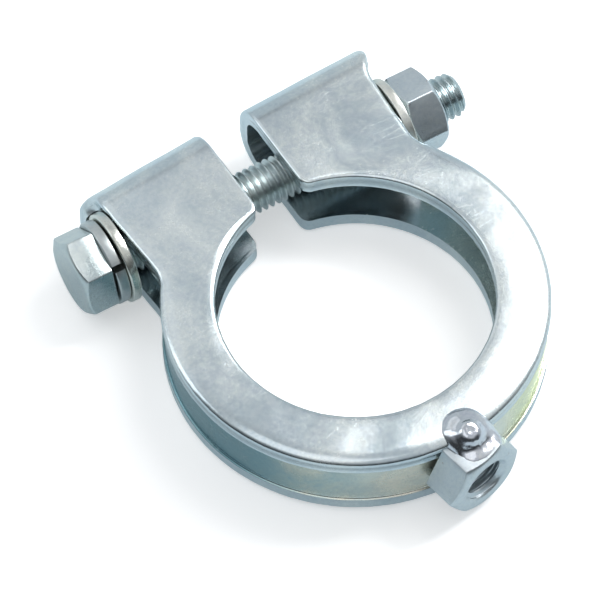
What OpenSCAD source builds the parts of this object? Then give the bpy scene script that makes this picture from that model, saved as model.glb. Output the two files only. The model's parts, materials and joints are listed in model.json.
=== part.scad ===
// Single-bolt channel clamp ring with a welded bracket nut.
// The bore axis is Z. The origin is on the bore axis, half way between the two plates.
// The bolt runs along +X from head to nut, and the lugs point along +Y.

/* [Clamp shell] */
// Diameter of the bore that grips the pipe
bore_d = 46; // [42:0.5:50]
// Outer diameter of the ring plates
ring_d = 64; // [60:0.5:68]
// Height over both plates
shell_h = 15; // [14.5:0.1:17]
// Thickness of the sheet
sheet_t = 3; // [2:0.1:3]
// Drop of each plate towards its neighbour at the bore edge
rim_drop = 1; // [0.2:0.1:1.5]
// Width of the sloping rim round the bore
rim_w = 3; // [1:0.5:5]
// Radius of the rounded outer edges of the plates
edge_r = 1; // [0.3:0.1:1.4]

/* [Lugs] */
// Distance from the bore axis to the outside of the folds
fold_y = 43; // [41:0.5:48]
// Outer radius of each fold
fold_r = 6; // [4:0.5:7]
// Gap between the two lugs
lug_gap = 8.8; // [6:0.2:12]
// Distance from the middle plane to a lug's outer end, at the fold
lug_end = 25.8; // [25:0.2:26.6]
// How much narrower a lug is where it meets the ring
lug_taper = 0.9; // [0:0.1:2]
// Turn of both lugs and their gap about the bore axis, away from the bolt's square
lug_lean = 2.8; // [0:0.2:3]
// Radius of the inside corner between a lug and the ring
lug_fillet = 5; // [2:0.5:8]
// Radius of the rounded corners where the gap meets the bore
gap_corner_r = 2; // [0.5:0.5:3]

/* [Web band] */
// Thickness of the band that spaces the plates
web_t = 2; // [1:0.1:2.5]
// Distance from the edge of the plates in to the band
web_recess = 0.5; // [0.5:0.1:2.5]
// Half of the angle left open for the lugs, measured from +Y
web_open = 52; // [50:1:60]

/* [Bolt] */
// Nominal thread diameter
thread_d = 8; // [8:0.1:8.2]
// Thread pitch
pitch = 1.25; // [1:0.25:1.25]
// Length under the head
bolt_len = 69; // [66:1:80]
// Distance from the bore axis to the bolt axis
bolt_y = 30.25; // [29.5:0.25:31.5]
// Position of the underside of the head
head_x = -31.65; // [-32.5:0.05:-31.65]
// Height of the hexagon head
head_h = 5.3; // [5:0.1:6]
// Width across the flats of the head and of the nut
hex_af = 13; // [12.5:0.1:13.5]
// Turn of the head about its axis
head_turn = 15; // [0:1:60]

/* [Nut and washers] */
// Height of the hexagon nut
nut_h = 6.5; // [6:0.1:7]
// Turn of the nut about its axis
nut_turn = 45; // [0:1:60]
// Outer diameter of the flat washers
washer_d = 16; // [15:0.5:17]
// Hole diameter of the flat washers
washer_hole = 8.4; // [8.4:0.1:9]
// Thickness of the flat washers
washer_t = 1.6; // [1.2:0.1:1.6]
// Outer diameter of the spring lock washer
lock_d = 14.8; // [14:0.1:15]
// Thickness of the spring lock washer
lock_t = 2.1; // [1.6:0.1:2.2]
// Width of the split in the spring lock washer
lock_split = 1.2; // [0.5:0.1:2]
// Turn of the split about the bolt axis
lock_turn = 135; // [0:5:355]
// Play between neighbours in the stack
play = 0.1; // [0.05:0.05:0.2]

/* [Weld nut] */
// Width across the flats of the weld nut
weld_af = 13; // [12:0.5:14]
// Height of the weld nut
weld_nut_h = 6.5; // [6:0.1:7.5]
// Tapping diameter of the bracket thread
tap_d = 6.8; // [6.6:0.1:7]
// Diameter of the countersink at the mouth of the thread
sink_d = 8.8; // [8.2:0.1:9.5]
// Angle of the weld nut round the ring, away from the -Y axis
weld_angle = 2.75; // [-10:0.25:10]
// Turn of the weld nut's axis away from the ring's radius
weld_skew = 9.5; // [0:0.5:10]
// Turn of the weld nut about its own axis
weld_turn = 2; // [0:1:60]
// Distance that the weld nut is sunk into the plate edges
weld_sink = 1; // [0.6:0.1:1]
// Diameter of the weld bead on the top plate
bead_d = 7.8; // [7:0.2:9]
// Height of the weld bead over the top plate
bead_h = 2.5; // [1.5:0.1:3]
// How far the bead runs down below the top plate's face
bead_foot = 1.6; // [0.5:0.1:2]
// Distance from the bore axis to the middle of the bead
bead_y = 31; // [30:0.5:32]
// Angle of the bead round the ring, away from the -Y axis
bead_angle = 4.7; // [-10:0.1:10]

/* [Hidden] */
$fn = 96;
eps = 0.01;

bore_r = bore_d / 2;
ring_r = ring_d / 2;
half_h = shell_h / 2;
gap_x = lug_gap / 2;
inner_z = half_h - sheet_t;
bend_y = fold_y - fold_r;
lug_root = lug_end - lug_taper;
web_r = ring_r - web_recess;
thread_r = thread_d / 2;
thread_depth = 0.6134 * pitch;
edge_steps = 6;
fold_overlap = 1;

// Tool that reaches past the part on every side
reach = 200;

// Stack positions along the bolt, outwards from each lug
washer_top = bolt_y + washer_d / 2;
head_washer_x = -lug_end * cos(lug_lean) - washer_top * sin(lug_lean) - play - washer_t;
lock_x = head_washer_x - play - lock_t;
nut_washer_x = lug_end * cos(lug_lean) - bend_y * sin(lug_lean) + play;
nut_x = nut_washer_x + washer_t + play;

zinc = [0.72, 0.77, 0.80];
zinc_dark = [0.52, 0.60, 0.63];
zinc_warm = [0.80, 0.81, 0.74];

// Depth that corner circles reach into the ring's edges, so that they cross them cleanly
bite = 0.1;

// Centre of the inside corner circle between lug and ring
corner_x = lug_root + lug_fillet;
corner_y = sqrt(pow(ring_r + lug_fillet - bite, 2) - pow(corner_x, 2));

// Outline of the two lugs and their inside corners, down to the bore axis
module lug_outline() {
    for (side = [-1, 1])
        scale_x(side)
            difference() {
                polygon([
                    [0, 0],
                    [corner_x, corner_y],
                    [lug_root, corner_y],
                    [lug_end, bend_y - fold_overlap],
                    [lug_end, bend_y],
                    [0, bend_y],
                ]);
                translate([corner_x, corner_y])
                    circle(r = lug_fillet);
            }
}

// Mirrors its children to the other side of the middle plane when side is -1
module scale_x(side) {
    if (side < 0)
        mirror([1, 0, 0])
            children();
    else
        children();
}

// Mirrors its children to the bottom plate when level is -1
module scale_z(level) {
    if (level < 0)
        mirror([0, 0, 1])
            children();
    else
        children();
}

// The gap between the lugs, opening into the bore with rounded corners
module gap_outline() {
    translate([-gap_x, 0])
        square([lug_gap, fold_y + 1]);
    corner_c = gap_x + gap_corner_r;
    touch_y = sqrt(pow(bore_r + gap_corner_r - bite, 2) - pow(corner_c, 2));
    for (side = [-1, 1])
        scale_x(side)
            difference() {
                polygon([
                    [0, 0],
                    [corner_c, touch_y],
                    [0, touch_y],
                ]);
                translate([corner_c, touch_y])
                    circle(r = gap_corner_r);
            }
}

// Half section of the ring's plate, dished at the bore and rounded at its outer edge
module ring_section() {
    polygon(concat(
        [
            [bore_r, inner_z - rim_drop],
            [bore_r + rim_w, inner_z],
            [ring_r, inner_z],
        ],
        [for (i = [0 : edge_steps])
            let (a = 90 * i / edge_steps)
                [ring_r - edge_r + edge_r * cos(a), half_h - edge_r + edge_r * sin(a)]],
        [
            [bore_r + rim_w, half_h],
            [bore_r, half_h - rim_drop],
        ]
    ));
}

// Flat part of both lugs at one plate, outside the ring
module lug_plate() {
    translate([0, 0, inner_z])
        linear_extrude(sheet_t)
            difference() {
                lug_outline();
                circle(r = ring_r - edge_r - 1, $fn = 180);
            }
}

// Fold that joins the two plates at the outside of the lugs, still whole across the gap
module fold() {
    translate([-lug_end, bend_y, 0])
        rotate([90, 0, 90])
            linear_extrude(2 * lug_end)
                difference() {
                    fold_outline(half_h, fold_r, fold_overlap);
                    fold_outline(inner_z, fold_r - sheet_t, fold_overlap + 1);
                }
}

// Rounded end of a fold: half height h, corner radius r, straight length back from the bend
module fold_outline(h, r, back) {
    translate([-back, -h])
        square([back, 2 * h]);
    translate([0, r - h])
        square([r, 2 * (h - r)]);
    for (level = [-1, 1])
        intersection() {
            translate([0, level * (h - r)])
                circle(r = r);
            translate([0, level > 0 ? h - r : -h])
                square([r, r]);
        }
}

// Clamp shell: one sheet folded over at the ends of both lugs, then split by the gap
module clamp_shell() {
    color(zinc)
        rotate([0, 0, lug_lean])
            difference() {
                union() {
                    for (level = [-1, 1])
                        scale_z(level) {
                            rotate_extrude($fn = 180)
                                ring_section();
                            lug_plate();
                        }
                    fold();
                }
                translate([0, 0, -half_h - 1])
                    linear_extrude(shell_h + 2)
                        gap_outline();
            }
}

// Whole round of the web, out to its outer face
module web_round() {
    rotate_extrude($fn = 180)
        translate([0, -inner_z])
            square([web_r, 2 * inner_z]);
}

// Band between the plates, open where the lugs are and spotted where the bracket thread ends
module web_band() {
    color(zinc_dark)
        difference() {
            rotate([0, 0, 90 + web_open])
                rotate_extrude(angle = 360 - 2 * web_open, $fn = 180)
                    translate([web_r - web_t, -inner_z])
                        square([web_t, 2 * inner_z]);
            at_weld(ring_r - weld_sink)
                cylinder(d = tap_d, h = weld_nut_h);
        }
}

// Hexagonal bar along +Z with both corners of its ends turned down where asked
module hex_bar(af, h, turn, low_chamfer, high_chamfer) {
    corner_r = af / sqrt(3);
    face_r = 0.475 * af;
    slope = (corner_r - face_r) * tan(30);
    intersection() {
        rotate([0, 0, turn])
            cylinder(r = corner_r, h = h, $fn = 6);
        rotate_extrude()
            polygon([
                [0, 0],
                [low_chamfer ? face_r : corner_r + eps, 0],
                [corner_r + eps, low_chamfer ? slope : 0],
                [corner_r + eps, high_chamfer ? h - slope : h],
                [high_chamfer ? face_r : corner_r + eps, h],
                [0, h],
            ]);
    }
}

// Turns its children's +Z axis to +X, on the bolt axis at distance x
module on_bolt(x) {
    translate([x, bolt_y, 0])
        rotate([90, 0, 90])
            children();
}

// Fully threaded hexagon bolt
module hex_bolt() {
    color(zinc)
        on_bolt(head_x) {
            translate([0, 0, -head_h])
                hex_bar(hex_af, head_h, head_turn, true, false);
            translate([0, 0, -eps])
                cylinder(r = thread_r, h = bolt_len - thread_depth + eps);
            translate([0, 0, bolt_len - thread_depth])
                cylinder(r1 = thread_r, r2 = thread_r - thread_depth, h = thread_depth);
        }
}

// Flat washer lying on the bolt axis from distance x outwards
module flat_washer(x) {
    on_bolt(x)
        difference() {
            cylinder(d = washer_d, h = washer_t);
            translate([0, 0, -1])
                cylinder(d = washer_hole, h = washer_t + 2);
        }
}

// Flat washer between the lug and the spring lock washer
module head_flat_washer() {
    color(zinc_warm)
        flat_washer(head_washer_x);
}

// Flat washer between the lug and the nut
module nut_flat_washer() {
    color(zinc_warm)
        flat_washer(nut_washer_x);
}

// Spring lock washer with its split
module spring_lock_washer() {
    color(zinc_dark)
        on_bolt(lock_x)
            difference() {
                cylinder(d = lock_d, h = lock_t);
                translate([0, 0, -1])
                    cylinder(d = washer_hole, h = lock_t + 2);
                rotate([0, 0, lock_turn])
                    translate([0, -lock_split / 2, -1])
                        cube([lock_d, lock_split, lock_t + 2]);
            }
}

// Hexagon nut with a clearance bore for the thread
module hex_nut() {
    color(zinc)
        on_bolt(nut_x)
            difference() {
                hex_bar(hex_af, nut_h, nut_turn, true, true);
                translate([0, 0, -1])
                    cylinder(r = thread_r + 0.05, h = nut_h + 2);
            }
}

// Turns its children's +Z axis outwards along the weld nut's axis, from radius r
module at_weld(r) {
    rotate([0, 0, weld_angle])
        translate([0, -r, 0])
            rotate([0, 0, weld_skew])
                rotate([90, 0, 0])
                    children();
}

// Solid hexagon of the weld nut, in place
module weld_nut_blank() {
    at_weld(ring_r - weld_sink)
        hex_bar(weld_af, weld_nut_h, weld_turn, false, true);
}

// Hexagon weld nut with the bracket thread, tapped through
module weld_nut() {
    sink_h = (sink_d - tap_d) / 2;
    color(zinc)
        difference() {
            weld_nut_blank();
            at_weld(ring_r - weld_sink) {
                translate([0, 0, -1])
                    cylinder(d = tap_d, h = weld_nut_h + 2);
                translate([0, 0, weld_nut_h - sink_h])
                    cylinder(d1 = tap_d, d2 = sink_d + 2 * eps, h = sink_h + eps);
            }
            for (level = [-1, 1])
                scale_z(level)
                    rotate_extrude($fn = 180)
                        ring_section();
            web_round();
        }
}

// Domed bead that joins the weld nut to the edge of the top plate
module weld_bead() {
    ball_r = (pow(bead_d / 2, 2) + pow(bead_h, 2)) / (2 * bead_h);
    color(zinc)
        difference() {
            rotate([0, 0, bead_angle])
                translate([0, -bead_y, half_h + bead_h - ball_r])
                    sphere(r = ball_r, $fn = 64);
            bead_floor();
            rotate_extrude($fn = 180)
                ring_section();
            web_round();
            weld_nut_blank();
        }
}

// Everything lower than the foot of the bead
module bead_floor() {
    translate([-reach / 2, -reach / 2, half_h - bead_foot - reach])
        cube([reach, reach, reach]);
}

clamp_shell();
web_band();
weld_nut();
weld_bead();
hex_bolt();
spring_lock_washer();
head_flat_washer();
nut_flat_washer();
hex_nut();
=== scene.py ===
import json
import math

import bmesh
import bpy
from mathutils import Matrix, Vector, noise


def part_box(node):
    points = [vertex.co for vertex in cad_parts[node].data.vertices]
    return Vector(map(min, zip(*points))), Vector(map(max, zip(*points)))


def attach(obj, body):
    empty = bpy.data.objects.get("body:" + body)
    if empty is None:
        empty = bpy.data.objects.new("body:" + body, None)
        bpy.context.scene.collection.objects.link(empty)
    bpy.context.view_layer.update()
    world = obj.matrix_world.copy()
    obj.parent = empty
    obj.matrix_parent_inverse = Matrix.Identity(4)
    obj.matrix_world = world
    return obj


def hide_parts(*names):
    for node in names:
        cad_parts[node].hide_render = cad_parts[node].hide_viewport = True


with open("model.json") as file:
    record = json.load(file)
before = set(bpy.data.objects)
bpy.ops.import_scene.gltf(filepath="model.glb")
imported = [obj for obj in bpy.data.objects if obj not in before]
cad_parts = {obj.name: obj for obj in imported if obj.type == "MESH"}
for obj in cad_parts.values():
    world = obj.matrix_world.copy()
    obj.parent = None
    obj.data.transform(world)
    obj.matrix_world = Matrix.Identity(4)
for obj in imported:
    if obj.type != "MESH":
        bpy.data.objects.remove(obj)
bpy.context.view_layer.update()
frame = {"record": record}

MM = 0.001
TAU = 2 * math.pi


# ---------------------------------------------------------------- sizes, in millimetres
def box_mm(node):
    low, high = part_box(node)
    return low / MM, high / MM


shell_lo, shell_hi = box_mm("clamp_shell")
band_lo, band_hi = box_mm("web_band")
bolt_lo, bolt_hi = box_mm("hex_bolt")
lock_lo, lock_hi = box_mm("spring_lock_washer")
head_washer_lo, head_washer_hi = box_mm("head_flat_washer")
nut_washer_lo, nut_washer_hi = box_mm("nut_flat_washer")
nut_lo, nut_hi = box_mm("hex_nut")
mounts = {m["name"]: m for m in frame["record"]["mounts"]}

# Ring plates and the band between them
HALF_H = shell_hi.z
RING_R = -shell_lo.y
BORE_R = mounts["pipe_bore"]["dims"]["r_mm"]
SHEET = 3.0
BAND_T = 2.0
BAND_OPEN = math.radians(52)

# Lugs as they are before they lean, and the folds that close them
GAP_X = 4.4
GAP_CORNER_R = 2.0
LUG_END = 25.8
LUG_ROOT = 24.9
LUG_LEAN = math.radians(2.8)
FILLET_R = 5.0
FOLD_R = 6.0
FOLD_SHEET = 2.5
THINNING_Y = (24.0, 38.0)
FOLD_Y = (shell_hi.y - LUG_END * math.sin(LUG_LEAN)) / math.cos(LUG_LEAN)
BEND_Y = FOLD_Y - FOLD_R
BULGE_RUN = 9.0

# Thread, hexagons and washers on the bolt
BOLT_Y = 0.5 * (head_washer_lo.y + head_washer_hi.y)
THREAD_R = 3.95
PITCH = 1.25
THREAD_DEPTH = 0.77
HEX_AF = 13.0
HEX_FACE = 0.475
HEX_CHAMFER = math.radians(30)
HEAD_H = 5.3
HEAD_X = bolt_lo.x + HEAD_H
HEAD_TURN = math.radians(15)
NUT_TURN = math.radians(45)
SINK_R = 4.4
WASHER_R = 8.0
WASHER_HOLE_R = 4.2
LOCK_R = 7.4
LOCK_TURN = math.radians(135)

# Bracket nut and its weld, placed by turning about the bore axis
WELD_R0 = 31.0
WELD_ANGLE = math.radians(2.75)
WELD_SKEW = math.radians(9.5)
WELD_TURN = math.radians(2)
WELD_AF = 13.0
WELD_H = 6.5
WELD_TAP_R = 3.4
BEAD_ANGLE = math.radians(4.7)


# ---------------------------------------------------------------- mesh helpers
def smoothstep(x, a, b):
    """0 below a, 1 above b, and a smooth rise between."""
    t = min(1.0, max(0.0, (x - a) / (b - a)))
    return t * t * (3 - 2 * t)


def add_to_scene(name, data):
    thing = bpy.data.objects.new(name, data)
    bpy.context.scene.collection.objects.link(thing)
    return thing


def add_piece(name, body, nodes, verts, faces, sharp_deg):
    """Mesh object from points in millimetres, riding a body in place of its CAD nodes."""
    mesh = bpy.data.meshes.new(name)
    mesh.from_pydata([Vector(v) * MM for v in verts], [], faces)
    bm = bmesh.new()
    bm.from_mesh(mesh)
    bmesh.ops.remove_doubles(bm, verts=bm.verts, dist=2e-6)
    bmesh.ops.dissolve_degenerate(bm, edges=bm.edges, dist=1e-6)
    bmesh.ops.recalc_face_normals(bm, faces=bm.faces)
    for face in bm.faces:
        face.smooth = True
    for edge in bm.edges:
        if len(edge.link_faces) == 2 and edge.calc_face_angle(0.0) > math.radians(sharp_deg):
            edge.smooth = False
    bm.to_mesh(mesh)
    bm.free()
    piece = add_to_scene(name, mesh)
    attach(piece, body)
    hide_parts(*nodes)
    return piece


def skin(loops, close=False, verts=None, faces=None):
    """Quads between closed loops of equal length. close joins the last loop to the first."""
    verts = [] if verts is None else verts
    faces = [] if faces is None else faces
    base = len(verts)
    count = len(loops[0])
    for loop in loops:
        verts.extend(loop)
    rows = len(loops)
    for i in range(rows if close else rows - 1):
        a = base + i * count
        b = base + ((i + 1) % rows) * count
        for j in range(count):
            k = (j + 1) % count
            faces.append((a + j, a + k, b + k, b + j))
    return verts, faces


def cap(verts, faces, first, count, centre):
    """Fan from the loop that starts at index first to a new point at its centre."""
    verts.append(centre)
    tip = len(verts) - 1
    for j in range(count):
        faces.append((first + j, first + (j + 1) % count, tip))


def close_ends(faces, count, rows):
    """One flat face on the first loop of an open skin, and one on the last."""
    faces.append(tuple(range(count)))
    faces.append(tuple(reversed(range((rows - 1) * count, rows * count))))


def circle(angles, radius, height, place):
    return [place(radius * math.cos(a), radius * math.sin(a), height) for a in angles]


def angles_of(outline):
    return [math.atan2(p.y, p.x) % TAU for p in outline]


def add_thread(verts, faces, angles, low, high, profile, limit, place):
    """Helical surface with whole rows along the helix. limit(z, r) trims the radius at both ends."""
    per = len(profile)
    turns = int(math.ceil((high - low) / PITCH)) + 3
    start = low - 1.5 * PITCH
    base = len(verts)
    columns = len(angles)
    rows = turns * per
    for i in range(rows):
        for angle in angles:
            part, radius = profile[i % per]
            z = start + (i // per + part + angle / TAU) * PITCH
            z = min(high, max(low, z))
            r = limit(z, radius)
            verts.append(place(r * math.cos(angle), r * math.sin(angle), z))
    for i in range(rows - 1):
        for j in range(columns):
            if j < columns - 1:
                a, b = (i, j + 1), (i + 1, j + 1)
            else:
                a, b = (i + per, 0), (i + 1 + per, 0)
                if b[0] >= rows:
                    continue
            faces.append((
                base + i * columns + j,
                base + a[0] * columns + a[1],
                base + b[0] * columns + b[1],
                base + (i + 1) * columns + j,
            ))


def even_angles(count):
    return [TAU * j / count for j in range(count)]


def hex_outline(flats, turn, corner_r, per_side=7, per_corner=4):
    """Hexagon with small round corners, as points in order of angle from zero."""
    arcs = []
    inner = flats / math.sqrt(3) - corner_r / math.cos(math.pi / 6)
    for k in range(6):
        middle = turn + k * math.pi / 3
        centre = Vector((inner * math.cos(middle), inner * math.sin(middle)))
        arc = []
        for i in range(per_corner + 1):
            a = middle - math.pi / 6 + (math.pi / 3) * i / per_corner
            arc.append(centre + corner_r * Vector((math.cos(a), math.sin(a))))
        arcs.append(arc)
    outline = []
    for k in range(6):
        following = arcs[(k + 1) % 6][0]
        outline.extend(arcs[k])
        for i in range(1, per_side):
            outline.append(arcs[k][-1].lerp(following, i / per_side))
    outline.sort(key=lambda p: math.atan2(p.y, p.x) % TAU)
    return outline


def on_bolt(x0):
    """Placement on the bolt's axis, with heights counted from x0 towards the tip."""
    return lambda a, b, c: Vector((x0 + c, BOLT_Y + a, b))


def at_weld(radius):
    """Placement on the bracket nut's axis, with heights counted outwards from the radius."""
    turn = Matrix.Rotation(WELD_ANGLE, 3, "Z")
    skew = Matrix.Rotation(WELD_SKEW, 3, "Z")
    return lambda a, b, c: turn @ (Vector((0, -radius, 0)) + skew @ Vector((a, -c, b)))


def hex_side_loops(outline, flats, height, low_chamfer, high_chamfer, place, edge=0.14):
    """Loops up the outside of a hexagon, from the rim of its low face to the rim of its high face."""
    face_r = HEX_FACE * flats
    slope = math.tan(HEX_CHAMFER)

    def turned_down(p):
        return max(0.0, p.length - face_r) * slope

    def scaled(p, length):
        return p * (length / p.length)

    loops = []
    if low_chamfer:
        loops.append([place(*scaled(p, face_r - 0.3), 0.0) for p in outline])
        loops.append([place(*scaled(p, face_r), 0.03) for p in outline])
        loops.append([place(*scaled(p, p.length - edge), turned_down(p) - 0.2 * edge) for p in outline])
        loops.append([place(*p, turned_down(p) + edge) for p in outline])
    else:
        loops.append([place(*scaled(p, p.length - 2 * edge), 0.0) for p in outline])
        loops.append([place(*scaled(p, p.length - 0.3 * edge), 0.3 * edge) for p in outline])
        loops.append([place(*p, edge) for p in outline])
    loops.append([place(*p, 0.5 * height) for p in outline])
    if high_chamfer:
        loops.append([place(*p, height - turned_down(p) - edge) for p in outline])
        loops.append([
            place(*scaled(p, p.length - edge), height - turned_down(p) + 0.2 * edge) for p in outline
        ])
        loops.append([place(*scaled(p, face_r), height - 0.04) for p in outline])
        loops.append([place(*scaled(p, face_r - 0.35), height) for p in outline])
    else:
        loops.append([place(*p, height - edge) for p in outline])
        loops.append([place(*scaled(p, p.length - edge), height) for p in outline])
    return loops


# ---------------------------------------------------------------- clamp shell
def half_track():
    """Right half of a plate: inner edge, outer edge, their directions into the sheet, dish and lean."""
    stations = []
    corner = Vector((GAP_X + GAP_CORNER_R, 0))
    corner.y = math.sqrt((BORE_R + GAP_CORNER_R) ** 2 - corner.x ** 2)
    fillet = Vector((LUG_ROOT + FILLET_R, 0))
    fillet.y = math.sqrt((RING_R + FILLET_R) ** 2 - fillet.x ** 2)
    inner_start = math.atan2(corner.y, corner.x)
    outer_start = math.atan2(fillet.y, fillet.x)
    lug_steps, corner_steps, ring_steps = 18, 12, 96
    corner_dish = 0.35
    for i in range(lug_steps):
        t = i / lug_steps
        outer = Vector((LUG_END, BEND_Y)).lerp(Vector((LUG_ROOT, fillet.y)), t)
        inner = Vector((GAP_X, BEND_Y)).lerp(Vector((GAP_X, corner.y)), t)
        stations.append((inner, Vector((1, 0)), outer, Vector((-1, 0)), 0.0, 1.0))
    for i in range(corner_steps):
        t = i / corner_steps
        a = math.pi + inner_start * t
        b = math.pi + outer_start * t
        inward = -Vector((math.cos(a), math.sin(a)))
        outward = Vector((math.cos(b), math.sin(b)))
        stations.append((
            corner - GAP_CORNER_R * inward, inward,
            fillet + FILLET_R * outward, outward, smoothstep(t, 0.2, 1.0) * corner_dish, 1.0,
        ))
    for i in range(ring_steps + 1):
        t = i / ring_steps
        a = inner_start + (-math.pi / 2 - inner_start) * t
        b = a - (inner_start - outer_start) * (1 - t) ** 3
        inward = Vector((math.cos(a), math.sin(a)))
        outward = Vector((math.cos(b), math.sin(b)))
        stations.append((
            BORE_R * inward, inward, RING_R * outward, -outward,
            corner_dish + (1 - corner_dish) * smoothstep(t, 0.0, 0.16), 1 - smoothstep(t, 0.0, 1.0),
        ))
    return stations


def bend_run(y, z):
    """Distance round the fold from where the plate starts to bend."""
    return FOLD_R * math.atan2(y - BEND_Y, max(1e-6, abs(z) - HALF_H + FOLD_R))


def ear_at(side, run, upper):
    """How far the end of a lug bulges out where its sheet was bent; run is the distance into the bend."""
    if side > 0:
        return 2.2 * smoothstep(run, -2.2, 4.4)
    return 2.0 * (smoothstep(run, 4.5, 10.0) if upper else smoothstep(run, -2.0, 5.0))


def slump_at(side, run):
    """How far the left lug's fold falls back at its outer end."""
    return 0.75 * smoothstep(run, -BULGE_RUN, 3.0) if side < 0 else 0.0


def turned(turn, station):
    """The station with each of its points and directions turned."""
    return {
        key: turn @ value if isinstance(value, Vector) else value
        for key, value in station.items()
    }


def shell_stations():
    """The closed run of the sheet: top plate right to left, left fold, bottom plate, right fold."""
    half = half_track()
    level = Vector((0, 0, 1))
    stations = []

    def plate_station(entry, side, up):
        inner, n_in, outer, n_out, dish, lean = entry
        run = outer.y - BEND_Y
        if run > -BULGE_RUN:
            outer = outer + Vector((ear_at(side, run, up > 0), -slump_at(side, run)))
        turn = Matrix.Rotation(LUG_LEAN * lean, 3, "Z")
        return turned(turn, {
            "inner": Vector((side * inner.x, inner.y, up * HALF_H)),
            "n_in": Vector((side * n_in.x, n_in.y, 0)),
            "outer": Vector((side * outer.x, outer.y, up * HALF_H)),
            "n_out": Vector((side * n_out.x, n_out.y, 0)),
            "up": up * level,
            "dish": dish,
        })

    def fold_stations(side, down):
        arc_steps, wall_steps = 14, 4
        path = []
        straight = HALF_H - FOLD_R

        def on_bend(a, half):
            """Point on the fold's quarter circle in one half of the height, and its direction outwards."""
            y = BEND_Y + FOLD_R * math.sin(a)
            z = half * (straight + FOLD_R * math.cos(a))
            return y, z, math.sin(a), half * math.cos(a)

        for i in range(1, arc_steps + 1):
            path.append(on_bend(0.5 * math.pi * i / arc_steps, 1))
        for i in range(1, wall_steps):
            path.append((FOLD_Y, straight - 2 * straight * i / wall_steps, 1.0, 0.0))
        for i in range(arc_steps):
            path.append(on_bend(0.5 * math.pi * (1 - i / arc_steps), -1))
        if not down:
            path.reverse()
        out = []
        for y, z, ny, nz in path:
            run = bend_run(y, z)
            end = Vector((side * (LUG_END + ear_at(side, run, z > 0)), y - slump_at(side, run), z))
            out.append(turned(Matrix.Rotation(LUG_LEAN, 3, "Z"), {
                "inner": Vector((side * GAP_X, y, z)),
                "n_in": Vector((side, 0, 0)),
                "outer": end,
                "n_out": Vector((-side, 0, 0)),
                "up": Vector((0, ny, nz)),
                "dish": 0.0,
            }))
        return out

    stations += [plate_station(e, 1, 1) for e in half]
    stations += [plate_station(e, -1, 1) for e in reversed(half[:-1])]
    stations += fold_stations(-1, True)
    stations += [plate_station(e, -1, -1) for e in half]
    stations += [plate_station(e, 1, -1) for e in reversed(half[:-1])]
    stations += fold_stations(1, False)
    return stations


def dented(q, up, across, inside):
    """Point of the sheet moved by shallow dents away from its edges, and by a small waver at them."""
    wobble = noise.noise(q * 0.11) * 0.09 + noise.noise(q * 0.33 + Vector((9, 4, 2))) * 0.025
    q = q + up * wobble * inside
    waver = noise.noise(q * 0.9 + Vector((3, 8, 5))) * 0.05 * (1 - inside)
    return q - across * waver


def section(station):
    """Closed loop round the sheet at one station, with rolled outer edges and cut faces."""
    inner, outer = station["inner"], station["outer"]
    n_in, n_out, up = station["n_in"], station["n_out"], station["up"]
    across = (outer - inner).normalized()
    on_ring = smoothstep(station["dish"], 0.0, 0.9)
    in_w, in_drop = 0.65 + 0.1 * on_ring, 0.35 + 0.1 * on_ring
    out_w, out_drop = 1.2 + 1.1 * on_ring, 0.60 + 0.5 * on_ring
    dish_w, dish_drop = 3.0, 0.10 * station["dish"]
    lug_y = 0.5 * (inner.y + outer.y)
    sheet = SHEET - (SHEET - FOLD_SHEET) * smoothstep(lug_y, *THINNING_Y)

    def roll(d, width, drop):
        """How far a rolled edge has dropped at distance d from it."""
        x = min(1.0, max(0.0, 1 - d / width))
        return drop * (1 - math.sqrt(max(0.0, 1 - x * x)))

    def dish(d):
        """How far the sheet slopes down towards the bore at distance d from it."""
        x = max(0.0, 1 - d / dish_w)
        return dish_drop * x * x

    def cut_face(edge, into, drop, dished):
        """Sheared face from the rolled edge down to the burr at the underside."""
        burr, break_h = 0.048, 0.22
        return [
            (edge, -drop - dished - 0.25),
            (edge, -0.5 * sheet - dished),
            (edge + into * 0.10, -0.58 * sheet - dished),
            (edge + into * 0.12, -sheet - dished + break_h),
            (edge + into * 0.05, -sheet - dished - burr),
        ]

    edge_steps = (0.0, 0.03, 0.1, 0.22, 0.38, 0.6, 0.85, 1.15)
    middle_steps = 9
    top, under = [], []
    for f in edge_steps:
        d = f * in_w
        p = inner + n_in * d
        top.append((p, -roll(d, in_w, in_drop) - dish(d)))
        under.append((p, -sheet - dish(d)))
    last_in = inner + n_in * d
    first_out = outer + n_out * (edge_steps[-1] * out_w)
    span = (first_out - last_in).length
    for i in range(1, middle_steps):
        p = last_in.lerp(first_out, i / middle_steps)
        slope = dish(d + span * i / middle_steps)
        top.append((p, -slope))
        under.append((p, -sheet - slope))
    for f in reversed(edge_steps):
        p = outer + n_out * (f * out_w)
        top.append((p, -roll(f * out_w, out_w, out_drop)))
        under.append((p, -sheet))
    loop = top + cut_face(outer, n_out, out_drop, 0.0)
    loop.extend(reversed(under[2:-2]))
    loop.extend(reversed(cut_face(inner, n_in, in_drop, dish(0))))
    points = []
    for p, height in loop:
        inside = smoothstep(min((p - inner).length, (p - outer).length), 0.0, 2.5)
        points.append(dented(p + up * height, up, across, inside))
    return points


def build_shell():
    loops = [section(s) for s in shell_stations()]
    verts, faces = skin(loops, close=True)
    return add_piece("shell_sheet", "clamp", ["clamp_shell"], verts, faces, 50)


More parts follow.
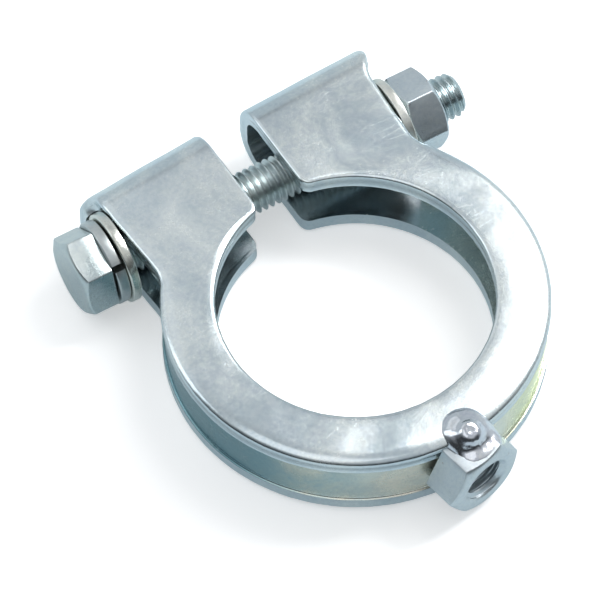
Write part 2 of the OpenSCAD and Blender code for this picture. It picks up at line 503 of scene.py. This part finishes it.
# ---------------------------------------------------------------- web band
def build_band():
    outer_r = -band_lo.y
    inner_r = outer_r - BAND_T
    low, high = band_lo.z, band_hi.z
    steps, arc_steps, wall_steps = 200, 4, 8
    flare, foot, inset = 0.2, 0.4, 0.02
    profile = []
    for i in range(arc_steps + 1):
        a = 0.5 * math.pi * i / arc_steps
        profile.append((outer_r + flare * (1 - math.sin(a)), high - inset - flare * (1 - math.cos(a))))
    for i in range(1, wall_steps):
        profile.append((outer_r, high - flare + (low - high + flare + foot) * i / wall_steps))
    for i in range(arc_steps + 1):
        a = 0.5 * math.pi * i / arc_steps
        profile.append((outer_r + foot * (1 - math.cos(a)), low + inset + foot * (1 - math.sin(a))))
    for i in range(wall_steps + 1):
        profile.append((inner_r, low + inset + (high - low - 2 * inset) * i / wall_steps))
    loops = []
    for i in range(steps + 1):
        a = math.pi / 2 + BAND_OPEN + (TAU - 2 * BAND_OPEN) * i / steps
        loop = []
        for r, z in profile:
            p = Vector((r * math.cos(a), r * math.sin(a), z))
            dent = noise.noise(p * 0.16) * 0.16 + noise.noise(p * 0.5) * 0.03
            dented_r = r + dent * (1 - smoothstep(abs(z), high - 1.6, high - 0.3))
            loop.append(Vector((dented_r * math.cos(a), dented_r * math.sin(a), z)))
        loops.append(loop)
    verts, faces = skin(loops)
    close_ends(faces, len(profile), len(loops))
    return add_piece("web_strip", "clamp", ["web_band"], verts, faces, 40)


# ---------------------------------------------------------------- threads and hexagons
def external_profile(radius):
    """One pitch of the bolt's thread, as shares of the pitch and radii."""
    root = radius - THREAD_DEPTH
    return [
        (0.0, radius - 0.03), (0.05, radius), (0.11, radius - 0.02), (0.17, radius - 0.12),
        (0.30, radius - 0.45), (0.42, root + 0.07), (0.50, root), (0.60, root),
        (0.68, root + 0.07), (0.80, radius - 0.45), (0.93, radius - 0.12),
    ]


def internal_profile(minor):
    """One pitch of a nut's thread, as shares of the pitch and radii."""
    root = minor + THREAD_DEPTH
    return [
        (0.0, minor), (0.20, minor), (0.27, minor + 0.10), (0.45, root - 0.06),
        (0.55, root), (0.62, root - 0.02), (0.75, root - 0.22), (0.93, minor + 0.10),
    ]


def build_bolt():
    length = bolt_hi.x - HEAD_X
    place = on_bolt(HEAD_X)
    outline = hex_outline(HEX_AF, HEAD_TURN, corner_r=0.45)
    angles = angles_of(outline)
    count = len(angles)
    face_r = HEX_FACE * HEX_AF
    face_dish = 0.05
    tip_r = THREAD_R - THREAD_DEPTH - 0.1
    verts, faces = [], []

    def flipped(a, b, c):
        return place(a, b, -c)

    def limit(z, radius):
        """Thread that runs out under the head and is chamfered at the tip."""
        run_in = smoothstep(z, 0.0, 1.0)
        r = THREAD_R + (radius - THREAD_R) * run_in
        return min(r, tip_r + 0.9 * (length - z))

    loops = [circle(angles, THREAD_R, 0.0, place)]
    loops += hex_side_loops(outline, HEX_AF, HEAD_H, False, True, flipped)
    for scale in (0.86, 0.6, 0.3):
        loops.append(circle(angles, scale * face_r, HEAD_H - face_dish * (0.9 - scale), flipped))
    skin(loops, verts=verts, faces=faces)
    cap(verts, faces, len(verts) - count, count, flipped(0, 0, HEAD_H - face_dish))
    add_thread(verts, faces, angles, 0.0, length, external_profile(THREAD_R), limit, place)
    tip = [circle(angles, scale * tip_r, length, place) for scale in (1.0, 0.7, 0.35)]
    skin(tip, verts=verts, faces=faces)
    cap(verts, faces, len(verts) - count, count, place(0, 0, length))
    return add_piece("cross_bolt", "bolt", ["hex_bolt"], verts, faces, 32)


def build_nut(name, body, node, place, flats, height, turn, minor, low_chamfer, base_r):
    """Hexagon nut with an inside thread. base_r is the radius of its hole at the low face."""
    outline = hex_outline(flats, turn, corner_r=0.4)
    angles = angles_of(outline)
    sink_depth = 0.12
    top = height - sink_depth
    verts, faces = [], []

    def limit(z, radius):
        """Thread that opens into a countersink at both faces."""
        return max(radius, SINK_R - (top - z), base_r - z)

    loops = [circle(angles, base_r, 0.0, place)]
    loops += hex_side_loops(outline, flats, height, low_chamfer, True, place)
    for extra, down in ((0.6, 0.0), (0.15, 0.03), (0.0, sink_depth)):
        loops.append(circle(angles, SINK_R + extra, height - down, place))
    skin(loops, verts=verts, faces=faces)
    add_thread(verts, faces, angles, 0.0, top, internal_profile(minor), limit, place)
    return add_piece(name, body, [node], verts, faces, 32)


def build_washer(name, body, node, place, height, rolled_up):
    """Punched flat washer. Its rolled rim is on the high face if rolled_up, and on the low one if not."""
    rim = 0.32
    rim_steps = 5
    profile = [
        (WASHER_HOLE_R, 0.08), (WASHER_HOLE_R + 0.08, 0.0), (WASHER_R - 0.5, 0.0),
        (WASHER_R - 0.06, 0.03), (WASHER_R, 0.12), (WASHER_R, height - rim - 0.1),
    ]
    for i in range(rim_steps + 1):
        a = 0.5 * math.pi * i / rim_steps
        profile.append((WASHER_R - rim + rim * math.cos(a), height - rim + rim * math.sin(a)))
    profile += [
        (WASHER_R - 1.4, height), (WASHER_HOLE_R + 0.9, height),
        (WASHER_HOLE_R + 0.2, height), (WASHER_HOLE_R, height - 0.2),
    ]
    if not rolled_up:
        profile = [(r, height - z) for r, z in reversed(profile)]
    loops = []
    for a in even_angles(112):
        loop = []
        for r, z in profile:
            p = Vector((r * math.cos(a), r * math.sin(a), z))
            share = 1 if 0.2 < z < height - 0.2 else 0.3
            uneven = 0.035 * share * noise.noise(p * 0.35 + Vector((0, 0, WASHER_R)))
            loop.append(place(p.x, p.y, z + uneven))
        loops.append(loop)
    verts, faces = skin(loops, close=True)
    return add_piece(name, body, [node], verts, faces, 40)


def build_lock_washer():
    """Split ring of rectangular section, whose two ends stand apart by the rise."""
    height = lock_hi.x - lock_lo.x
    place = on_bolt(lock_lo.x)
    corner, corner_steps = 0.28, 3
    steps = 130
    half_split = 0.6 / LOCK_R
    rise = 0.32
    loops = []
    for i in range(steps + 1):
        t = i / steps
        a = LOCK_TURN + half_split + (TAU - 2 * half_split) * t
        shift = rise * (t - 0.5)
        loop = []
        for cx, cz, first in (
            (WASHER_HOLE_R + corner, corner, math.pi),
            (LOCK_R - corner, corner + 0.1, 1.5 * math.pi),
            (LOCK_R - corner, height - corner - 0.1, 0.0),
            (WASHER_HOLE_R + corner, height - corner, 0.5 * math.pi),
        ):
            for k in range(corner_steps + 1):
                b = first + 0.5 * math.pi * k / corner_steps
                r = cx + corner * math.cos(b)
                z = cz + corner * math.sin(b)
                loop.append(place(r * math.cos(a), r * math.sin(a), z - shift))
        loops.append(loop)
    verts, faces = skin(loops)
    close_ends(faces, len(loops[0]), len(loops))
    return add_piece(
        "lock_ring", "lock_washer", ["spring_lock_washer"], verts, faces, 40,
    )


# ---------------------------------------------------------------- weld bead
def build_bead():
    """Drop of weld metal with a nub and a crater, found along rays from a point inside it."""
    turn = Matrix.Rotation(BEAD_ANGLE, 3, "Z")
    back = turn.inverted()
    centre = turn @ Vector((0.2, -31.4, 5.4))
    blend = 0.5

    def distance(p):
        """Signed distance to the drop, about right near its surface."""
        q = back @ p
        mound = Vector((q.x, q.y + 30.6, (q.z - 5.7) * 1.4)).length - 4.45
        nub = Vector((q.x + 0.3, q.y + 32.2, (q.z - 7.6) * 0.85)).length - 2.05
        foot = Vector(((q.x - 0.1) * 0.55, (q.y + 35.0) * 0.9, (q.z - 5.9) * 1.8)).length - 1.8
        tail = Vector(((q.x - 3.0) * 0.9, (q.y + 33.2) * 0.62, q.z - 5.0)).length - 1.45
        crater = (q - Vector((-0.3, -32.7, 10.6))).length - 1.35
        drop = -blend * math.log(sum(math.exp(-d / blend) for d in (mound, nub, foot, tail)))
        drop = blend * math.log(math.exp(drop / blend) + math.exp(-crater / blend * 0.8) * 0.6)
        rough = 0.02 + 0.12 * smoothstep(-q.y, 33.4, 34.8)
        return drop + 0.12 * noise.noise(p * 0.5) + rough * noise.noise(p * 1.6)

    def surface_along(ray):
        """Surface point on a ray from the centre, by halving."""
        near, far = 0.5, 12.0
        for _ in range(26):
            middle = 0.5 * (near + far)
            if distance(centre + ray * middle) < 0:
                near = middle
            else:
                far = middle
        return centre + ray * near

    rows, columns = 40, 72
    widest_tilt = math.radians(128)
    loops = []
    for i in range(1, rows + 1):
        tilt = widest_tilt * i / rows
        loop = []
        for a in even_angles(columns):
            ray = Vector((math.sin(tilt) * math.cos(a), math.sin(tilt) * math.sin(a), math.cos(tilt)))
            loop.append(surface_along(ray))
        loops.append(loop)
    verts, faces = skin(loops)
    cap(verts, faces, 0, columns, sum(loops[0], Vector()) / columns)
    cap(verts, faces, (rows - 1) * columns, columns, sum(loops[-1], Vector()) / columns)
    return add_piece("weld_dome", "clamp", ["weld_bead"], verts, faces, 60)


# ---------------------------------------------------------------- materials
class Tree:
    """Short way to write node trees: each call adds a node and links its inputs."""

    def __init__(self, owner):
        owner.use_nodes = True
        self.tree = owner.node_tree
        self.tree.nodes.clear()

    def add(self, kind, settings=None, **inputs):
        """Inputs go by name, with spaces as underscores, or by place, as i0, i1 and so on."""
        node = self.tree.nodes.new(kind)
        for key, value in (settings or {}).items():
            setattr(node, key, value)
        for key, value in inputs.items():
            by_place = key[0] == "i" and key[1:].isdigit()
            socket = node.inputs[int(key[1:]) if by_place else key.replace("_", " ")]
            if isinstance(value, bpy.types.NodeSocket):
                self.tree.links.new(value, socket)
            else:
                socket.default_value = value
        return node

    def output(self, kind, shader):
        self.tree.links.new(shader.outputs[0], self.add(kind).inputs[0])

    def noise(self, vector, scale, detail=4.0, rough=0.55, distortion=0.0):
        node = self.add(
            "ShaderNodeTexNoise", None,
            Vector=vector, Scale=scale, Detail=detail, Roughness=rough, Distortion=distortion,
        )
        return node.outputs[0]

    def math(self, operation, a, b=0.0, clamp=False):
        settings = {"operation": operation, "use_clamp": clamp}
        return self.add("ShaderNodeMath", settings, i0=a, i1=b).outputs[0]

    def plus(self, a, b, clamp=False):
        return self.math("ADD", a, b, clamp)

    def minus(self, a, b):
        return self.math("SUBTRACT", a, b)

    def times(self, a, b):
        return self.math("MULTIPLY", a, b)

    def ramp(self, value, low, high, out_low=0.0, out_high=1.0):
        settings = {"interpolation_type": "SMOOTHSTEP"}
        node = self.add("ShaderNodeMapRange", settings, i0=value, i1=low, i2=high, i3=out_low, i4=out_high)
        return node.outputs[0]

    def mix(self, factor, a, b, blend="MIX"):
        settings = {"data_type": "RGBA", "blend_type": blend}
        return self.add("ShaderNodeMix", settings, i0=factor, i6=a, i7=b).outputs[2]

    def dot(self, a, b):
        return self.add("ShaderNodeVectorMath", {"operation": "DOT_PRODUCT"}, i0=a, i1=b).outputs["Value"]

    def scaled(self, vector, scale, rotation=(0, 0, 0), location=(0, 0, 0)):
        place = {"Location": location, "Rotation": rotation, "Scale": scale}
        return self.add("ShaderNodeMapping", None, Vector=vector, **place).outputs[0]


def rgb(r, g, b):
    return (r, g, b, 1.0)


def band_painted_shade_reflections(t, coords, color, shade):
    """Painted shade and painted reflections on the band: painted shade dark on its left, then a warm
    painted reflection, then a yellow one on the right of its front.
    """
    split = t.add("ShaderNodeSeparateXYZ", None, Vector=coords)
    across, along = split.outputs[0], split.outputs[1]
    front = t.ramp(along, -14 * MM, -4 * MM, 1.0, 0.0)
    # painted shade, darkest at the band's left end
    dark = t.ramp(across, -31 * MM, -19 * MM, 0.9, 0.0)
    # painted reflections, warm and then yellow, only on the band's front
    warm_reflection = t.ramp(across, -23 * MM, -9 * MM, 0.0, 0.6)
    yellow_reflection = t.times(t.ramp(across, 8 * MM, 16 * MM, 0.0, 0.75), t.ramp(across, 22 * MM, 29 * MM, 1.0, 0.2))
    color = t.mix(dark, color, rgb(*shade))
    color = t.mix(t.times(front, warm_reflection), color, rgb(0.92, 0.86, 0.74))
    return t.mix(t.times(front, yellow_reflection), color, rgb(0.74, 0.79, 0.48))


def scratch_lines(t, mm):
    """Thin scratches in two directions, on some parts of the surface only."""
    lines = []
    for stretch, turn, scale, level, width in (
        ((0.16, 1.0, 1.0), (0.3, 0.2, 0.6), 0.5, 0.50, 0.0025),
        ((1.0, 0.12, 1.0), (0.1, 0.5, -0.4), 0.6, 0.52, 0.0022),
    ):
        streak = t.noise(t.scaled(mm, stretch, turn), scale, 1.0, 0.4)
        lines.append(t.ramp(t.math("ABSOLUTE", t.minus(streak, level)), 0.0, width, 1.0, 0.0))
    where = t.ramp(t.noise(mm, 0.13, 2.0), 0.48, 0.62)
    return t.times(t.math("MAXIMUM", *lines), where)


def zinc(name, tones, rough, mottle=0.5, grain=0.25, scratches=0.5, rust=0.0, seed=0.0, tint_scale=0.05,
         shade=None):
    """Zinc-plated steel: patchy tint, dark spots, fine scratches, rolled grain and optional rust specks;
    with shade, also painted shade and painted reflections on the band.
    """
    material = bpy.data.materials.new(name)
    t = Tree(material)
    coords = t.add("ShaderNodeTexCoord").outputs["Object"]
    mm = t.scaled(coords, (1000, 1000, 1000), location=(seed, seed * 0.7, seed * 0.3))
    cloud = t.noise(mm, tint_scale, 5.0, 0.6, 0.6)
    patch = t.noise(mm, 0.22, 6.0, 0.62, 1.2)
    fine = t.noise(mm, 1.6, 5.0, 0.6)
    speck = t.noise(mm, 5.5, 3.0, 0.7)
    rolled = t.noise(t.scaled(mm, (0.5, 6.0, 6.0)), 1.1, 3.0, 0.6)
    spots = t.times(t.ramp(fine, 0.60, 0.74), 0.3)
    scratch = t.times(scratch_lines(t, mm), scratches)

    color = t.mix(t.ramp(cloud, 0.38, 0.62), rgb(*tones[0]), rgb(*tones[1]))
    color = t.mix(t.times(t.ramp(patch, 0.44, 0.60), mottle), color, rgb(*tones[2]))
    # With shade given, the colour gets painted shade on the band's left and painted reflections on its
    # front.
    if shade:
        color = band_painted_shade_reflections(t, coords, color, shade)
    color = t.mix(spots, color, rgb(*[c * 0.55 for c in tones[0]]))
    speckle = t.add(
        "ShaderNodeCombineColor", None,
        i0=t.ramp(fine, 0.3, 0.7, 0.92, 1.04),
        i1=t.ramp(fine, 0.3, 0.7, 0.93, 1.03),
        i2=t.ramp(fine, 0.3, 0.7, 0.95, 1.02),
    ).outputs[0]
    color = t.mix(1.0, color, speckle, "MULTIPLY")
    color = t.mix(scratch, color, rgb(0.86, 0.88, 0.89))
    if rust > 0:
        rust_specks = t.ramp(t.noise(mm, 0.9, 4.0, 0.7), 0.70 - 0.03 * rust, 0.78)
        color = t.mix(rust_specks, color, rgb(0.23, 0.10, 0.04))

    roughness = t.plus(t.ramp(cloud, 0.35, 0.68, rough[0], rough[1]), t.times(spots, 0.3))
    roughness = t.plus(roughness, t.times(t.minus(speck, 0.5), 0.16), True)
    height = t.plus(t.times(fine, 0.55), t.times(speck, 0.16))
    height = t.plus(height, t.times(rolled, 0.10))
    height = t.plus(height, t.times(patch, 0.35))
    height = t.minus(height, t.times(scratch, 0.5))
    bump = t.add("ShaderNodeBump", None, Strength=grain, Distance=0.12 * MM, Height=height).outputs[0]
    t.output("ShaderNodeOutputMaterial", t.add(
        "ShaderNodeBsdfPrincipled", None, Base_Color=color, Metallic=1.0, Roughness=roughness, Normal=bump,
    ))
    return material


def floor_material():
    """Near-white floor that glows a little, and is a middle tone where metal reflects it."""
    material = bpy.data.materials.new("studio_floor")
    t = Tree(material)
    coords = t.add("ShaderNodeTexCoord").outputs["Object"]
    color = t.mix(t.noise(coords, 3.0, 2.0), rgb(0.93, 0.93, 0.93), rgb(0.96, 0.96, 0.96))
    glossy = t.add("ShaderNodeLightPath").outputs["Is Glossy Ray"]
    color = t.mix(glossy, color, rgb(0.44, 0.51, 0.54))
    t.output("ShaderNodeOutputMaterial", t.add(
        "ShaderNodeBsdfPrincipled", None,
        Base_Color=color, Roughness=0.9, Emission_Color=color, Emission_Strength=0.42,
    ))
    return material


def coat(pieces, *look, **settings):
    """One zinc material for all the pieces."""
    material = zinc(*look, **settings)
    for piece in pieces:
        piece.data.materials.append(material)


# ---------------------------------------------------------------- build the pieces
shell = build_shell()
band = build_band()
bolt = build_bolt()
nut = build_nut(
    "cross_nut", "nut", "hex_nut", on_bolt(nut_lo.x), HEX_AF, nut_hi.x - nut_lo.x,
    NUT_TURN, minor=THREAD_R - THREAD_DEPTH + 0.2, low_chamfer=True, base_r=4.3,
)
weld_nut = build_nut(
    "bracket_nut", "clamp", "weld_nut", at_weld(WELD_R0), WELD_AF, WELD_H,
    WELD_TURN, minor=WELD_TAP_R, low_chamfer=False, base_r=3.9,
)
head_washer = build_washer(
    "washer_head_side", "head_washer", "head_flat_washer", on_bolt(head_washer_lo.x),
    head_washer_hi.x - head_washer_lo.x, rolled_up=False,
)
nut_washer = build_washer(
    "washer_nut_side", "nut_washer", "nut_flat_washer", on_bolt(nut_washer_lo.x),
    nut_washer_hi.x - nut_washer_lo.x, rolled_up=True,
)
lock_washer = build_lock_washer()
bead = build_bead()

coat(
    [shell], "pressed_zinc", ((0.60, 0.69, 0.73), (0.76, 0.82, 0.82), (0.64, 0.71, 0.76)), (0.19, 0.27),
    mottle=0.4, grain=0.13, seed=3.0,
)
# The band's material paints shade on its left in the shade colour, and painted reflections on its front.
coat(
    [band], "band_zinc", ((0.50, 0.65, 0.66), (0.88, 0.84, 0.70), (0.66, 0.74, 0.66)), (0.20, 0.32),
    seed=11.0, tint_scale=0.09, shade=(0.14, 0.29, 0.34),
)
coat(
    [bolt], "bolt_zinc", ((0.50, 0.58, 0.59), (0.62, 0.67, 0.66), (0.54, 0.61, 0.63)), (0.24, 0.40),
    seed=21.0,
)
coat(
    [nut, weld_nut], "nut_zinc", ((0.56, 0.64, 0.69), (0.66, 0.72, 0.75), (0.62, 0.68, 0.70)), (0.26, 0.42),
    rust=1.0, seed=31.0,
)
coat(
    [head_washer, nut_washer], "washer_zinc",
    ((0.72, 0.73, 0.66), (0.80, 0.80, 0.74), (0.70, 0.73, 0.70)), (0.22, 0.36),
    seed=41.0,
)
coat(
    [lock_washer], "lock_washer_zinc",
    ((0.50, 0.55, 0.56), (0.62, 0.64, 0.62), (0.55, 0.60, 0.60)), (0.30, 0.46),
    seed=51.0,
)
coat(
    [bead], "weld_metal", ((0.66, 0.70, 0.74), (0.76, 0.79, 0.82), (0.62, 0.64, 0.72)), (0.11, 0.22),
    scratches=0.1, seed=61.0,
)

# ---------------------------------------------------------------- floor, camera, light and world
FLOOR_HALF_W = 1.6
CAMERA_AZIMUTH = math.radians(29.1)
CAMERA_ELEVATION = math.radians(58.16)
CAMERA_ROLL = math.radians(-0.85)
CAMERA_DISTANCE = 768.9
CAMERA_LENS = 275.7
SENSOR_W = 36
AIM = Vector((0, 0, -0.72))
AIM_LEFT = 8.31
AIM_UP = 4.14

ahead = Vector((math.sin(CAMERA_AZIMUTH), math.cos(CAMERA_AZIMUTH), 0))
right = Vector((math.cos(CAMERA_AZIMUTH), -math.sin(CAMERA_AZIMUTH), 0))
upward = Vector((0, 0, 1))


def build_floor():
    """Plain floor just under the washers, which are the lowest part."""
    mesh = bpy.data.meshes.new("floor")
    bm = bmesh.new()
    bmesh.ops.create_grid(bm, x_segments=12, y_segments=12, size=FLOOR_HALF_W)
    bm.to_mesh(mesh)
    bm.free()
    mesh.materials.append(floor_material())
    floor = add_to_scene("floor", mesh)
    floor.location = (0, 0, (head_washer_lo.z - 0.02) * MM)
    return floor


def build_camera():
    """Camera at the photo's angle, aimed a little to the left of the bore's middle and above it."""
    look = ahead * math.cos(CAMERA_ELEVATION) - upward * math.sin(CAMERA_ELEVATION)
    up = right.cross(look)
    axis_x = right * math.cos(CAMERA_ROLL) + up * math.sin(CAMERA_ROLL)
    axis_y = up * math.cos(CAMERA_ROLL) - right * math.sin(CAMERA_ROLL)
    aim = AIM - axis_x * AIM_LEFT + axis_y * AIM_UP
    place = (aim - look * CAMERA_DISTANCE) * MM
    data = bpy.data.cameras.new("camera")
    data.sensor_fit = "HORIZONTAL"
    data.sensor_width = SENSOR_W
    data.lens = CAMERA_LENS
    data.clip_start = 0.05
    data.clip_end = 20
    camera = add_to_scene("camera", data)
    camera.matrix_world = Matrix((
        (axis_x.x, axis_y.x, -look.x, place.x),
        (axis_x.y, axis_y.y, -look.y, place.y),
        (axis_x.z, axis_y.z, -look.z, place.z),
        (0, 0, 0, 1),
    ))
    return camera


def softbox(name, direction, distance, size, power, color=(1, 1, 1)):
    """Rectangular light in a direction from the origin, facing it. Metres and watts."""
    data = bpy.data.lights.new(name, "AREA")
    data.shape = "RECTANGLE"
    data.size, data.size_y = size
    data.energy = power
    data.color = color
    spot = direction.normalized() * distance
    light = add_to_scene(name, data)
    light.location = spot
    light.rotation_euler = (-spot).to_track_quat("-Z", "Y").to_euler()


def build_world():
    """Pale sky, dim behind the camera, with a darker stripe high up ahead of it."""
    world = bpy.data.worlds.new("studio")
    t = Tree(world)
    direction = t.add("ShaderNodeTexCoord").outputs["Generated"]
    height = t.add("ShaderNodeSeparateXYZ", None, Vector=direction).outputs[2]
    toward = t.dot(direction, ahead)
    sideways = t.dot(direction, right)
    rise = t.ramp(height, 0.35, 0.85)
    horizon = t.plus(0.06, t.times(t.ramp(toward, -0.5, 0.5), 0.66))
    zenith = t.plus(0.54, t.ramp(sideways, -0.4, 0.5, 0.0, 0.12))
    glow = t.plus(t.times(horizon, t.minus(1.0, rise)), t.times(zenith, rise))
    stripe = t.times(t.ramp(height, 0.60, 0.70), t.ramp(height, 0.70, 0.79, 1.0, 0.0))
    stripe = t.times(stripe, t.ramp(toward, 0.1, 0.4, 0.0, 0.35))
    glow = t.times(glow, t.minus(1.0, stripe))
    color = t.mix(rise, rgb(0.82, 0.89, 0.93), rgb(0.94, 0.97, 1.0))
    t.output("ShaderNodeOutputWorld", t.add("ShaderNodeBackground", None, Color=color, Strength=glow))
    return world


floor = build_floor()
bpy.context.scene.camera = build_camera()
softbox("key", right * 0.16 + ahead * 0.19 + upward * 0.306, 0.40, (0.17, 0.27), 0.62, (1.0, 0.99, 0.98))
softbox("top", upward * 1.0 - ahead * 0.30 - right * 0.25, 0.8, (0.5, 0.5), 0.5)
softbox("left", -right * 1.2 + ahead * 0.15 + upward * 0.8, 0.9, (0.35, 0.5), 0.7, (0.93, 0.97, 1.0))
softbox("edge", right * 0.9 + ahead * 0.5 + upward * 1.0, 1.2, (0.26, 0.26), 5.5)
softbox("fill", -right * 0.20 + ahead * 0.22 + upward * 0.31, 0.43, (0.27, 0.27), 0.08)
bpy.context.scene.world = build_world()
bpy.context.scene.view_settings.view_transform = "Standard"
